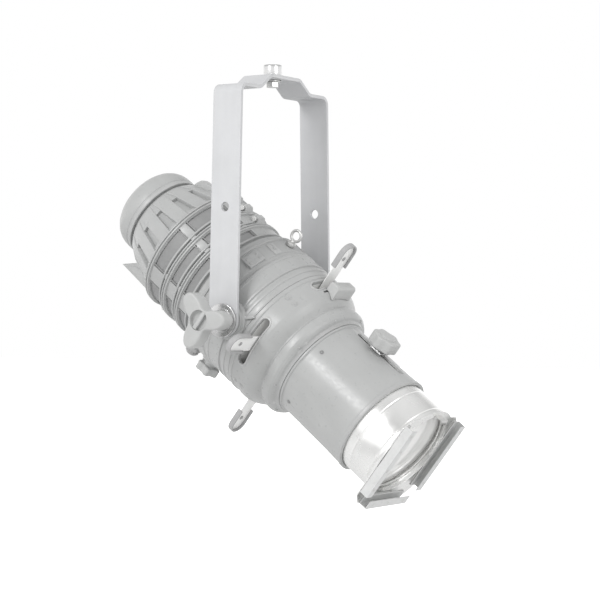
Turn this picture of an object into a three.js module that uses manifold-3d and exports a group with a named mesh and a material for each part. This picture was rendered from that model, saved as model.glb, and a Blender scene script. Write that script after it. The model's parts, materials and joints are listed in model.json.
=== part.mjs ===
// Profile spotlight hung from a strap yoke, built from separate pieces.
// Units are millimetres, +Z up. The origin is the centre of the hanging spigot's top face,
// and the whole lamp hangs below it. The lamp head is drawn in its own axes, x across,
// u up and square to the beam, s along the beam, and is then tilted about the pivot.
import * as THREE from "three";
import { mergeVertices } from "three/addons/utils/BufferGeometryUtils.js";
import Module from "manifold-3d";

const wasm = await Module();
wasm.setup();

// ---------- driving dimensions ----------
const TILT_DEG = 38; // beam below horizontal at rest
const SPIGOT_R = 14, SPIGOT_H = 18; // hanging spigot
const YOKE_LEG = 348; // pivot to the top face of the yoke's shoulders
const YOKE_RISE = 20; // raised centre of the yoke above its shoulders
const STRAP_W = 50, STRAP_T = 5; // yoke strap section
const YOKE_HALF = 114.5; // strap centreline at the shoulders, from the middle
const YOKE_SPLAY_DEG = 1.55; // outward lean of each leg
const PIVOT_Z = -(SPIGOT_H + YOKE_RISE + YOKE_LEG);
const GAP = 0.3; // clearance between touching pieces

const CAP_R = 70, CAP_BACK = -311, CAP_FRONT = -257; // rear lamp cap
const SHELL_BACK = -253, SHELL_FRONT = -74; // split reflector housing
const BAND_R = 102, RIDGE_R = 105, SHELL_IN = 95;
const BANDS = [[-176, -141], [-137, -110], [-106, -79]];
const MID_FRONT = 29.5, MID_R = 108.5; // pivot housing
const GATE_BACK = 30, GATE_FRONT = 115, GATE_R = 108.5; // rotating gate housing
const SHUTTER_S = [44.6, 54.2, 47.8, 51.0]; // planes of the four shutter blades: top, near, bottom, far
const SHUTTER_IN = [0, 8.5, 0, 8.5]; // how far each one rests pushed in
const SLOT_HALF = 40; // half length of each shutter slot
const BARREL_FRONT = 249, BARREL_IN = 78, BARREL_R0 = 80.4, BARREL_R1 = 82.2;
const TUBE_R = 77.3, TUBE_IN = 74.5, TUBE_BACK = 135, TUBE_FRONT = 308.5;
const FRAME_HALF = 77; // colour-frame holder, half width
const KNOB_S = 176; // focus knob station
const LOCK_S = -48; // rotation lock station

const RAD = Math.PI / 180;
const V2 = (x, y) => new THREE.Vector2(x, y);

// ---------- solids ----------
function solid(geometry) {
  const g = geometry.clone();
  for (const n of Object.keys(g.attributes)) if (n !== "position") g.deleteAttribute(n);
  const m = mergeVertices(g, 1e-4);
  const idx = m.index.array, p = m.attributes.position.array;
  let keep = [];
  for (let i = 0; i < idx.length; i += 3) {
    const [a, b, c] = [idx[i], idx[i + 1], idx[i + 2]];
    if (a !== b && b !== c && a !== c) keep.push(a, b, c);
  }
  let vol = 0;
  for (let i = 0; i < keep.length; i += 3) {
    const [a, b, c] = [keep[i] * 3, keep[i + 1] * 3, keep[i + 2] * 3];
    vol += p[a] * (p[b + 1] * p[c + 2] - p[b + 2] * p[c + 1])
      - p[a + 1] * (p[b] * p[c + 2] - p[b + 2] * p[c])
      + p[a + 2] * (p[b] * p[c + 1] - p[b + 1] * p[c]);
  }
  if (vol < 0) for (let i = 0; i < keep.length; i += 3) [keep[i], keep[i + 1]] = [keep[i + 1], keep[i]];
  return new wasm.Manifold(new wasm.Mesh({ numProp: 3, vertProperties: new Float32Array(p), triVerts: new Uint32Array(keep) }));
}
function geometryOf(m) {
  const mesh = m.getMesh(), n = mesh.numProp, v = new Float32Array(mesh.numVert * 3);
  for (let i = 0; i < mesh.numVert; i++) v.set(mesh.vertProperties.subarray(i * n, i * n + 3), i * 3);
  const g = new THREE.BufferGeometry();
  g.setAttribute("position", new THREE.BufferAttribute(v, 3));
  g.setIndex(new THREE.BufferAttribute(new Uint32Array(mesh.triVerts), 1));
  g.computeVertexNormals();
  return g;
}
const join = (...list) => list.flat().reduce((a, b) => a.add(b));
const cut = (a, ...list) => list.flat().reduce((x, b) => x.subtract(b), a);
const moved = (g, x, y, z) => g.translate(x, y, z);

// turned about the s axis (local z) from a profile of [radius, s] pairs
function turned(profile, seg = 48, closed = false) {
  const pts = profile.map(([r, s]) => V2(r, s));
  if (closed) pts.push(pts[0].clone());
  return solid(new THREE.LatheGeometry(pts, seg).rotateX(Math.PI / 2));
}
const ring = (r0, r1, s0, s1, seg = 48) => turned([[r0, s0], [r1, s0], [r1, s1], [r0, s1]], seg, true);
const block = (x0, x1, y0, y1, z0, z1) =>
  solid(moved(new THREE.BoxGeometry(x1 - x0, y1 - y0, z1 - z0), (x0 + x1) / 2, (y0 + y1) / 2, (z0 + z1) / 2));
// a rod along one axis: "x", "y" or "z", from a to b, centred on the other two coordinates
function rod(axis, r, a, b, c1 = 0, c2 = 0, seg = 24, r2 = r) {
  const g = new THREE.CylinderGeometry(r2, r, b - a, seg);
  if (axis === "x") { g.rotateZ(-Math.PI / 2); g.translate((a + b) / 2, c1, c2); }
  if (axis === "y") g.translate(c1, (a + b) / 2, c2);
  if (axis === "z") { g.rotateX(Math.PI / 2); g.translate(c1, c2, (a + b) / 2); }
  return solid(g);
}
// an outline of [a, b] pairs pushed along the third axis from t0 to t1
function slab(outline, t0, t1, plane = "xy") {
  const g = new THREE.ExtrudeGeometry(new THREE.Shape(outline.map(([a, b]) => V2(a, b))),
    { depth: t1 - t0, bevelEnabled: false, curveSegments: 8 });
  g.translate(0, 0, t0);
  if (plane === "yz") g.applyMatrix4(new THREE.Matrix4().set(0, 0, 1, 0, 1, 0, 0, 0, 0, 1, 0, 0, 0, 0, 0, 1)); // (a,b)->(y,z), depth x
  if (plane === "zy") g.applyMatrix4(new THREE.Matrix4().set(0, 0, 1, 0, 0, 1, 0, 0, 1, 0, 0, 0, 0, 0, 0, 1)); // (a,b)->(z,y), depth x
  if (plane === "xz") g.applyMatrix4(new THREE.Matrix4().set(1, 0, 0, 0, 0, 0, 1, 0, 0, 1, 0, 0, 0, 0, 0, 1)); // (a,b)->(x,z), depth y
  return solid(g);
}
// points along a polyline whose corners are rounded with the given radii
function rounded(points, radii, n = 5) {
  const out = [];
  points.forEach((p, i) => {
    if (i === 0 || i === points.length - 1 || !radii[i]) { out.push(p); return; }
    const a = V2(...points[i - 1]), b = V2(...p), c = V2(...points[i + 1]);
    const d1 = a.clone().sub(b).normalize(), d2 = c.clone().sub(b).normalize();
    const half = Math.acos(Math.min(1, Math.max(-1, d1.dot(d2)))) / 2;
    const off = radii[i] / Math.tan(half);
    const p1 = b.clone().addScaledVector(d1, off), p2 = b.clone().addScaledVector(d2, off);
    const centre = b.clone().addScaledVector(d1.clone().add(d2).normalize(), radii[i] / Math.sin(half));
    const a1 = Math.atan2(p1.y - centre.y, p1.x - centre.x);
    let a2 = Math.atan2(p2.y - centre.y, p2.x - centre.x);
    while (a2 - a1 > Math.PI) a2 -= 2 * Math.PI;
    while (a2 - a1 < -Math.PI) a2 += 2 * Math.PI;
    for (let k = 0; k <= n; k++) {
      const t = a1 + ((a2 - a1) * k) / n;
      out.push([centre.x + radii[i] * Math.cos(t), centre.y + radii[i] * Math.sin(t)]);
    }
  });
  return out;
}
// a strip of the given thickness on both sides of a line
function strip(line, t) {
  const left = [], right = [];
  line.forEach((p, i) => {
    const a = line[Math.max(0, i - 1)], b = line[Math.min(line.length - 1, i + 1)];
    const d = V2(b[0] - a[0], b[1] - a[1]).normalize();
    left.push([p[0] - (d.y * t) / 2, p[1] + (d.x * t) / 2]);
    right.push([p[0] + (d.y * t) / 2, p[1] - (d.x * t) / 2]);
  });
  return left.concat(right.reverse());
}

// ---------- finishes ----------
const FIN = {
  black: [0x5b5d5f, 0.55, 0.2], yoke: [0x8c8e90, 0.5, 0.5], silver: [0xd9dadb, 0.25, 0.9], steel: [0xc9cbcc, 0.3, 0.9],
  zinc: [0xb9bbbd, 0.4, 0.8], knob: [0x7d7f81, 0.55, 0.05], rubber: [0x6a6c6e, 0.8, 0], glass: [0xf2efe2, 0.05, 0],
  mirror: [0xe8e8ea, 0.05, 1], ceramic: [0xe6e2d8, 0.7, 0], flange: [0x9a9c9e, 0.45, 0.4], cover: [0xb9bbb9, 0.5, 0.1],
};
const material = (f) => new THREE.MeshStandardMaterial({ color: FIN[f][0], roughness: FIN[f][1], metalness: FIN[f][2] });
function piece(group, name, m, finish) {
  const mesh = new THREE.Mesh(geometryOf(m), material(finish));
  mesh.name = name;
  group.add(mesh);
}

const part = new THREE.Group();

// ================= hanger =================
const hanger = new THREE.Group();
part.add(hanger);
const topZ = PIVOT_Z + YOKE_LEG + YOKE_RISE; // top face of the raised centre
piece(hanger, "hanging_spigot", cut(
  turned([[0, topZ + GAP], [SPIGOT_R, topZ + GAP], [SPIGOT_R, -1.2], [SPIGOT_R - 1.2, 0], [0, 0]], 24),
  rod("z", 6.4, topZ - 1, topZ + 12, 0, 0, 24)), "steel");
piece(hanger, "spigot_bolt", join(
  rod("z", 10.4, topZ - STRAP_T - 10.6, topZ - STRAP_T - 2.8, 0, 0, 6),
  rod("z", 6, topZ - STRAP_T - 3, topZ + 11, 0, 0, 24)), "zinc");
piece(hanger, "spigot_washer", ring(6.5, 13, topZ - STRAP_T - 2.5, topZ - STRAP_T - GAP, 18), "zinc");

// ================= yoke =================
const yoke = new THREE.Group();
yoke.position.z = PIVOT_Z;
part.add(yoke);
const zTop = YOKE_LEG - STRAP_T / 2, zEnd = -26, splay = Math.tan(YOKE_SPLAY_DEG * RAD);
const legX = (z) => YOKE_HALF + (zTop - z) * splay; // strap centreline of a leg
const yokeLine = rounded([
  [-legX(zEnd), zEnd], [-YOKE_HALF, zTop], [-66, zTop], [-38, zTop + YOKE_RISE],
  [38, zTop + YOKE_RISE], [66, zTop], [YOKE_HALF, zTop], [legX(zEnd), zEnd]],
  [0, 12.5, 14, 14, 14, 14, 12.5, 0], 5);
{
  let m = slab(strip(yokeLine, STRAP_T), -STRAP_W / 2, STRAP_W / 2, "xz");
  // rounded lower ends
  const side = [[-STRAP_W / 2, 400], [-STRAP_W / 2, 0]];
  for (let k = 0; k <= 12; k++) side.push([-25 * Math.cos((k / 12) * Math.PI), -25 * Math.sin((k / 12) * Math.PI)]);
  side.push([STRAP_W / 2, 400]);
  m = m.intersect(slab(side, -140, 140, "yz"));
  m = cut(m,
    rod("x", 6.8, -140, 140, 0, 0, 24), // pivot holes
    rod("x", 7, -140, 140, 0, 166, 24), // spare holes in the legs
    rod("z", 6.6, 340, 380, 0, 0, 24), // spigot hole
    rod("z", 5, 335, 360, -92, 0, 16), rod("z", 5, 335, 360, 92, 0, 16)); // shoulder holes
  piece(yoke, "yoke_strap", m, "yoke");
}

// ================= tilt knob, at the -X leg =================
const legOut = legX(0) + STRAP_T / 2;
{
  const lobes = [];
  for (let k = 0; k < 36; k++) {
    const a = (k / 36) * 2 * Math.PI, r = 29.5 + 14 * Math.cos(3 * a) + 1.5 * Math.cos(6 * a);
    lobes.push([-r * Math.cos(a), r * Math.sin(a)]);
  }
  const face = -(legOut + 60);
  piece(yoke, "tilt_knob", cut(join(
    slab(lobes, face, face + 25, "yz"),
    rod("x", 14, face + 20, -(legOut + 5), 0, 0, 24)),
    rod("x", 9.5, face - 1, face + 5, 0, 0, 24),
    rod("x", 6.4, face + 22, 0, 0, 0, 20)), "knob");
  piece(yoke, "tilt_stud", rod("x", 6, face + 22.5, -105.5, 0, 0, 20), "zinc");
  piece(yoke, "tilt_knob_washer", ring(6.6, 25, 0, 3, 24).rotate([0, 90, 0]).translate([-(legOut + 4.2), 0, 0]), "steel");
}

// ================= lamp head =================
const head = new THREE.Group();
head.position.z = PIVOT_Z;
head.rotation.x = Math.PI / 2 + TILT_DEG * RAD; // local x, y, z are x, u, s
part.add(head);

// ---- burner: cap, socket and lamp, which move along the axis to trim the beam ----
piece(head, "rear_cap", join(
  turned([[0, CAP_BACK], [27, CAP_BACK + 1.2], [47, CAP_BACK + 6], [61, CAP_BACK + 15], [68, CAP_BACK + 27], [CAP_R, CAP_BACK + 38],
    [CAP_R, CAP_FRONT], [64, CAP_FRONT], [64, SHELL_BACK + 7], [60, SHELL_BACK + 7], [60, CAP_FRONT - 3], [CAP_R - 4, CAP_FRONT - 3], [CAP_R - 4, CAP_BACK + 34],
    [57, CAP_BACK + 18], [25, CAP_BACK + 5], [0, CAP_BACK + 4]], 32)), "black");
piece(head, "lamp_socket", turned([[0, -306], [20, -306], [20, -272], [16, -268], [8.6, -268], [8.6, -282], [0, -282]], 24), "ceramic");
piece(head, "lamp", turned([[0, -281.5], [8.2, -281.5], [8.2, -262], [9.5, -258], [9.5, -198], [7.5, -191], [3.5, -187], [0, -186]], 20), "glass");

// ---- reflector ----
{
  const A = 152.5, B = 83.7, C = -77.5, inn = [], out = [];
  for (let k = 0; k <= 6; k++) {
    const s = -227 + (143 * Math.pow(k / 6, 1.6));
    const r = B * Math.sqrt(Math.max(0, 1 - ((s - C) / A) ** 2));
    inn.push([r, s]);
    out.push([r + 2, k === 0 ? s - 1.2 : s]);
  }
  out[out.length - 1] = [inn[6][0] + 2, -86];
  piece(head, "reflector", turned([...inn, [94.4, -84], [94.4, -86], ...out.reverse()], 32, true), "mirror");
}

// ---- reflector housing, cast in two halves that meet in the middle plane ----
{
  const outer = [[68.5, SHELL_BACK], [83.5, -210], [93, -178]];
  BANDS.forEach(([a, b], i) => {
    outer.push([RIDGE_R, a], [RIDGE_R, a + 5], [BAND_R, a + 5], [BAND_R, b]);
    if (i < 2) outer.push([97.5, b], [97.5, BANDS[i + 1][0]]);
    else outer.push([97.5, b], [97.5, SHELL_FRONT]);
  });
  const inner = [[SHELL_IN, SHELL_FRONT], [SHELL_IN, -172], [88, -178], [80, -208], [65, SHELL_BACK]];
  let m = turned([...outer, ...inner], 32, true);
  const ribs = [];
  for (let k = 0; k < 16; k++) {
    const rib = slab([[-251, 67], [-251, 70.6], [-231, 80.6], [-177, 99], [-175, 99], [-175, 91.5]].map(([s, r]) => [s, r]), -11, 11, "zy");
    ribs.push(rib.rotate([0, 0, 11.25 + k * 22.5]));
  }
  m = join(m, ribs);
  // blind vent pockets on the flanks of each band
  for (const [a, b] of BANDS)
    for (const mid of [-85, -38, 38, 85]) {
      const w = [], half = 20;
      for (let k = 0; k <= 3; k++) { const t = (mid - half + (k / 3) * 2 * half) * RAD; w.push([98.5 * Math.sin(t), 98.5 * Math.cos(t)]); }
      for (let k = 3; k >= 0; k--) { const t = (mid - half + (k / 3) * 2 * half) * RAD; w.push([113 * Math.sin(t), 113 * Math.cos(t)]); }
      m = cut(m, slab(w, a + 8, b - 3));
    }
  // seam lugs above and below, the top lug's nose and the lower fin
  const lugs = [], lugAt = [[-166, 1], [-142.5, 1], [-114, 1], [-166, -1], [-142.5, -1], [-114, -1]];
  for (const [c, sg] of lugAt)
    lugs.push(slab([[c - 10, 98], [c - 10, 104], [c - 5, 111], [c + 4, 111], [c + 10, 103], [c + 10, 98]].map(([s, u]) => [s, sg * u]), -9, 9, "zy"));
  const nose = slab([[-242, 74], [-238, 84], [-233, 92], [-214, 95], [-205, 95], [-198, 86]], -8, 8, "zy");
  const fin = slab([[-275, -103], [-253, -84], [-226, -76], [-204, -82], [-181, -88], [-181, -98], [-206, -105]], -11, 11, "zy");
  m = join(m, lugs, nose, fin);
  // screw holes across the seam
  const holes = [];
  for (const [c, sg] of lugAt) holes.push(rod("x", 2.8, -20, 20, sg * 106, c, 8));
  m = cut(m, holes);
  piece(head, "housing_near", m.intersect(block(-130, -GAP / 2, -130, 130, -300, 0)), "black");
  piece(head, "housing_far", m.intersect(block(GAP / 2, 130, -130, 130, -300, 0)), "black");
  lugAt.forEach(([c, sg], i) =>
    piece(head, `seam_screw_${i + 1}`, join(rod("x", 2.4, -9.5, 9, sg * 106, c, 8), rod("x", 4.3, -12.6, -9.3, sg * 106, c, 8)), "zinc"));
}

// ---- pivot housing with its trunnion bosses ----
{
  const outer = [[97.5, SHELL_FRONT + GAP], [105, SHELL_FRONT + 2], [105, -63], [110, -63], [110, -56], [MID_R, -56], [MID_R, -21], [110, -21], [110, MID_FRONT]];
  const inner = [[104, MID_FRONT], [104, -64], [95, SHELL_FRONT + GAP]];
  let m = turned([...outer, ...inner], 32, true);
  m = join(m, rod("x", 25.5, -118, -106, 0, 0, 20), rod("x", 25.5, 106, 118, 0, 0, 20));
  m = join(m, rod("y", 17, -118, -106, 0, LOCK_S, 16)); // lock boss below
  // raised plate on the upper near flank
  m = join(m, slab([[-52, 105.8], [-52, 112.5], [-31, 112.5], [-31, 105.8]], -14, 14, "zy").rotate([0, 0, 42]));
  m = cut(m, rod("x", 6.8, -130, -90, 0, 0, 20), rod("x", 6.8, 90, 130, 0, 0, 20),
    rod("y", 4.4, -125, -100, 0, LOCK_S, 16));
  piece(head, "pivot_housing", m, "black");
}
piece(head, "friction_disc_near", ring(7, 24, 0, 1.6, 20).rotate([0, 90, 0]).translate([-119.9, 0, 0]), "rubber");
piece(head, "friction_disc_far", ring(7, 24, 0, 1.6, 20).rotate([0, 90, 0]).translate([118.3, 0, 0]), "rubber");
piece(head, "pivot_bolt", join(rod("x", 6, 105.5, legOut + 6, 0, 0, 20), rod("x", 11, legOut + 5.5, legOut + 13, 0, 0, 6)), "zinc");
piece(head, "pivot_washer", ring(6.5, 17, 0, 2.4, 18).rotate([0, 90, 0]).translate([legOut + 2.6, 0, 0]), "zinc");

// ---- cable gland below, plugged ----
piece(head, "cable_gland", join(rod("y", 8, -126, -113, 0, -88, 16), rod("y", 12.5, -126, -119, 0, -88, 6), rod("y", 10, -134, -125, 0, -88, 16)), "rubber");
piece(head, "gland_plate", cut(block(-16, 16, -118.7, -100, -101.5, -77), rod("y", 8.4, -125, -90, 0, -88, 16),
  turned([[0, -110], [105.4, -110], [105.4, -70], [0, -70]], 32)), "black");
// ---- lock for the turning gate, below ----
{
  const pts = [];
  for (let k = 0; k < 30; k++) { const a = (k / 30) * 2 * Math.PI, r = 16.5 + 2.5 * Math.cos(5 * a); pts.push([r * Math.cos(a), LOCK_S + r * Math.sin(a)]); }
  piece(head, "lock_knob", cut(join(slab(pts, -138.5, -124.5, "xz"), rod("y", 10, -125.5, -120.5, 0, LOCK_S, 20)), rod("y", 4.4, -140, -100, 0, LOCK_S, 16)), "knob");
  piece(head, "lock_screw", rod("y", 4, -133.5, -104.2, 0, LOCK_S, 16), "zinc");
}
// ---- safety-wire eye, on top ----
{
  const eye = new THREE.TorusGeometry(8.5, 2.2, 6, 14).rotateY(Math.PI / 2);
  piece(head, "safety_eye", join(rod("y", 7, 109.2, 115.5, 0, -43, 16), rod("y", 3.2, 115, 119, 0, -43, 12), solid(moved(eye, 0, 127, -43))), "zinc");
}

// ---- gate housing, which turns about the beam with the shutters and the barrel ----
const blades = [["top", 0], ["near", 90], ["bottom", 180], ["far", -90]]; // turned about the beam
{
  const outer = [[110, GATE_BACK], [110, 37], [GATE_R, 38], [GATE_R, 66], [101, 79], [93, 86], [93, 88], [96, 90], [96, 102], [88, 110], [84.5, GATE_FRONT]];
  const inner = [[BARREL_IN + 1, GATE_FRONT], [BARREL_IN + 1, 92], [97, 70], [104, 60], [104, GATE_BACK]];
  let m = turned([...outer, ...inner], 32, true);
  for (const [, deg] of blades) {
    const w = 7, o = [];
    for (let k = 0; k <= 6; k++) { const t = (-90 + (k / 6) * 180) * RAD; o.push([SLOT_HALF - w + w * Math.cos(t), 49.4 + w * Math.sin(t)]); }
    for (let k = 0; k <= 6; k++) { const t = (90 + (k / 6) * 180) * RAD; o.push([-SLOT_HALF + w + w * Math.cos(t), 49.4 + w * Math.sin(t)]); }
    m = cut(m, slab(o, 60, 130, "xz").rotate([0, 0, deg]));
  }
  m = cut(m, block(-31, 31, 90, 120, 62, 65.4)); // pattern slot, under its cover
  piece(head, "gate_housing", m, "black");
}
piece(head, "turning_sleeve", ring(98.5, 102.8, -58, 38.5, 32), "steel");
piece(head, "gate_plate_rear", ring(36, 103.2, 39.5, 41.5, 24), "steel");
piece(head, "gate_plate_front", ring(38, 103.2, 57.5, 59.5, 24), "steel");
piece(head, "pattern_slot_cover", cut(
  slab([[60.5, 100], [60.5, 119], [63, 121.5], [76, 121.5], [79, 118], [79, 96]], -24, 24, "zy"),
  turned([[0, 50], [GATE_R + GAP, 50], [GATE_R + GAP, 66.2], [101.4, 79.3], [95, 86], [0, 86]], 40)), "cover");

// ---- four shutters, each a steel blade with a moulded rim ----
blades.forEach(([name, deg], i) => {
  const s = SHUTTER_S[i], drop = -SHUTTER_IN[i], tip = [], rim = [];
  for (let k = 0; k <= 10; k++) { const t = (k / 10) * Math.PI; tip.push([12.4 * Math.cos(t), 161.3 + 12.4 * Math.sin(t)]); }
  const plate = [[42, 8], [42, 55], [36, 60], [13, 60], [13, 131], [12.4, 134], ...tip, [-12.4, 134], [-13, 131], [-13, 60], [-36, 60], [-42, 55], [-42, 8]];
  const m = cut(slab(plate, s - 0.6, s + 0.6), rod("z", 2.6, s - 3, s + 3, 0, 151, 12)).translate([0, drop, 0]);
  piece(head, `shutter_blade_${name}`, m.rotate([0, 0, deg]), "steel");
  for (let k = 0; k <= 10; k++) { const t = (k / 10) * Math.PI; rim.push([15.8 * Math.cos(t), 161.3 + 15.8 * Math.sin(t)]); }
  for (let k = 10; k >= 0; k--) { const t = (k / 10) * Math.PI; rim.push([12.75 * Math.cos(t), 161.3 + 12.75 * Math.sin(t)]); }
  const around = [[15.8, 138], ...rim.slice(0, 11), [-15.8, 138], [-13.35, 136], [-12.75, 139], ...rim.slice(11), [12.75, 139], [13.35, 136]];
  piece(head, `shutter_grip_${name}`, slab(around, s - 4.6, s + 4.4).translate([0, drop, 0]).rotate([0, 0, deg]), "rubber");
});

// ---- barrel, a little wider at its mouth ----
{
  const prof = [[BARREL_IN, GATE_FRONT + GAP], [BARREL_R0 + 2.6, GATE_FRONT + GAP], [BARREL_R0 + 2.6, 119], [BARREL_R0, 121], [BARREL_R1 - 0.1, BARREL_FRONT - 6],
    [BARREL_R1 + 0.8, BARREL_FRONT - 6], [BARREL_R1 + 0.8, BARREL_FRONT], [BARREL_IN, BARREL_FRONT]];
  const slot = [];
  for (let k = 0; k <= 6; k++) { const t = (-90 + (k / 6) * 180) * RAD; slot.push([KNOB_S + 48 + 5 * Math.cos(t), 5 * Math.sin(t)]); }
  for (let k = 0; k <= 6; k++) { const t = (90 + (k / 6) * 180) * RAD; slot.push([KNOB_S - 38 + 5 * Math.cos(t), 5 * Math.sin(t)]); }
  // slot along the beam for the focus lock's stud
  piece(head, "barrel", cut(turned(prof, 40, true), slab(slot.map(([s, x]) => [x, s]), 60, 100, "xz")), "black");
}

// ---- lens tube ----
piece(head, "lens_tube", cut(
  turned([[TUBE_IN, TUBE_BACK], [TUBE_R, TUBE_BACK], [TUBE_R, TUBE_FRONT], [TUBE_IN, TUBE_FRONT]], 40, true),
  rod("y", 4.3, 60, 90, 0, KNOB_S, 16)), "silver");
const lens = (s, r, edge, bulge) => {
  const p = [[0, s - edge / 2 - bulge[0]]];
  for (let k = 1; k <= 3; k++) p.push([(r * k) / 3, s - edge / 2 - bulge[0] * (1 - (k / 3) ** 2)]);
  for (let k = 3; k >= 1; k--) p.push([(r * k) / 3, s + edge / 2 + bulge[1] * (1 - (k / 3) ** 2)]);
  p.push([0, s + edge / 2 + bulge[1]]);
  return turned(p, 28);
};
piece(head, "front_lens", lens(292, 73.9, 5, [1, 9]), "glass");
piece(head, "rear_lens", lens(205, 73.9, 5, [9, 1]), "glass");
piece(head, "front_lens_ring", turned([[66, 303], [74.1, 303], [74.1, 295.3], [72, 295.3], [70.5, 299], [66, 300.5]], 28, true), "black");
piece(head, "rear_lens_ring", ring(69.5, 74.1, 208.2, 213, 28), "black");

// ---- colour-frame holder on the lens tube's front ----
const PL0 = TUBE_FRONT + GAP, PL1 = PL0 + 2, CH = 14;
{
  const H = FRAME_HALF, c = 17;
  const sq = [[-H, -H - 11 + c], [-H + c, -H - 11], [H - c, -H - 11], [H, -H - 11 + c], [H, 58 - c * 0.3], [H - c, 66], [-H + c, 66], [-H, 58 - c * 0.3]];
  const m = cut(join(slab(sq, PL0, PL1), rod("z", 79.5, PL0, PL1, 0, 0, 36)), rod("z", 69, PL0 - 2, PL1 + 2, 0, 0, 32));
  piece(head, "frame_plate", m, "silver");
  // each channel holds the colour frame's edge: web outside, lips in front and behind
  const z0 = PL1 + GAP, z1 = z0 + CH, t = 1.6, lip = 14;
  const chan = (side) => slab([[side * H, z0], [side * H, z1], [side * (H - lip), z1], [side * (H - lip), z1 - t], [side * (H - t), z1 - t],
    [side * (H - t), z0 + t], [side * (H - lip), z0 + t], [side * (H - lip), z0]], -64, 58, "xz");
  piece(head, "frame_channel_near", chan(-1), "silver");
  piece(head, "frame_channel_far", chan(1), "silver");
  const B = -H - 10.5;
  piece(head, "frame_channel_bottom", slab([[z0, B], [z1, B], [z1, B + lip], [z1 - t, B + lip], [z1 - t, B + t], [z0 + t, B + t], [z0 + t, B + lip], [z0, B + lip]], -56, 56, "zy"), "silver");
}

// ---- focus lock on top of the barrel ----
{
  const pts = [];
  for (let k = 0; k < 30; k++) { const a = (k / 30) * 2 * Math.PI, r = 21.3 + 1.5 * Math.cos(6 * a); pts.push([r * Math.cos(a), KNOB_S + r * Math.sin(a)]); }
  piece(head, "focus_knob", cut(join(slab(pts, 90, 108, "xz"), rod("y", 10, 85.5, 91, 0, KNOB_S, 24)), rod("y", 4.3, 60, 101, 0, KNOB_S, 16)), "knob");
  piece(head, "focus_stud", rod("y", 4, 74.8, 100.6, 0, KNOB_S, 16), "zinc");
  piece(head, "focus_washer", cut(block(-11, 11, 82.7, 85.2, KNOB_S - 11, KNOB_S + 11), rod("y", 4.4, 80, 90, 0, KNOB_S, 16)), "steel");
}

export default part;
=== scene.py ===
import bpy, bmesh, math, json
from mathutils import Vector, Matrix


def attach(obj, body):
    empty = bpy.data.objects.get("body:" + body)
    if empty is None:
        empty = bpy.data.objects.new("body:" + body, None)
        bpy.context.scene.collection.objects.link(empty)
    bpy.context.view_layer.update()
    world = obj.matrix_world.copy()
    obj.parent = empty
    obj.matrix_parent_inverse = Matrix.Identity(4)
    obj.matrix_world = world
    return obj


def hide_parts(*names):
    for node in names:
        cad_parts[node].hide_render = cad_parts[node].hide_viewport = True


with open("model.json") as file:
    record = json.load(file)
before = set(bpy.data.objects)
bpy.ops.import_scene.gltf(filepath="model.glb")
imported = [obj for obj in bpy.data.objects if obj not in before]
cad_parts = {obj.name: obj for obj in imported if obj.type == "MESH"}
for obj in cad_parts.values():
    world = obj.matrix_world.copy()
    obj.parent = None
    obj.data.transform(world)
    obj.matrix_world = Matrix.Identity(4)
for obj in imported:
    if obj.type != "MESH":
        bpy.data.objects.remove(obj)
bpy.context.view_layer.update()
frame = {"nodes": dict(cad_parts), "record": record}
NODES = frame["nodes"]
BODY_OF = {n: b for b, ns in frame["record"]["behaviour"]["bodies"].items() for n in ns}
SLOT_OF = {s["node"]: s["material_slot"] for s in frame["record"]["subparts"]}

# ---------- dimensions, in millimetres ----------
TILT = math.radians(38)
PIVOT = -386.0
BEAM = Vector((0, -math.cos(TILT), -math.sin(TILT)))
UP = Vector((0, -math.sin(TILT), math.cos(TILT)))
MM = 0.001
# head axes (x, u, s) in mm to the row frame in metres
HEAD = Matrix(((MM, 0, 0, 0), (0, UP.y * MM, BEAM.y * MM, 0), (0, UP.z * MM, BEAM.z * MM, PIVOT * MM), (0, 0, 0, 1)))
# yoke axes (x, y, z from the pivot) in mm to the row frame in metres
YOKE = Matrix(((MM, 0, 0, 0), (0, MM, 0, 0), (0, 0, MM, PIVOT * MM), (0, 0, 0, 1)))
ROW = Matrix(((MM, 0, 0, 0), (0, MM, 0, 0), (0, 0, MM, 0), (0, 0, 0, 1)))

# ---------- camera ----------
cam_data = bpy.data.cameras.new("camera")
cam_data.sensor_width = 36.0
cam_data.lens = 1922.7 * 36.0 / 600.0
cam_data.clip_start, cam_data.clip_end = 0.05, 100
cam = bpy.data.objects.new("camera", cam_data)
bpy.context.scene.collection.objects.link(cam)
fwd = Vector((0.8339, 0.5518, 0.0074)).normalized()
up = Vector((-0.0086, -0.0003, 1.0))
right = fwd.cross(up).normalized()
up = right.cross(fwd).normalized()
cam.matrix_world = Matrix(((right.x, up.x, -fwd.x, -2.4009), (right.y, up.y, -fwd.y, -1.6402), (right.z, up.z, -fwd.z, -0.3765), (0, 0, 0, 1)))
bpy.context.scene.camera = cam
bpy.context.scene.view_settings.view_transform = "Standard"


# ---------- materials ----------
def new_material(name):
    m = bpy.data.materials.new(name)
    m.use_nodes = True
    nt = m.node_tree
    nt.nodes.clear()
    out = nt.nodes.new("ShaderNodeOutputMaterial")
    b = nt.nodes.new("ShaderNodeBsdfPrincipled")
    nt.links.new(b.outputs[0], out.inputs[0])
    return m, nt, b


def node(nt, kind, **kw):
    n = nt.nodes.new(kind)
    for k, v in kw.items():
        if k in n.inputs:
            n.inputs[k].default_value = v
        else:
            setattr(n, k, v)
    return n


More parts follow.
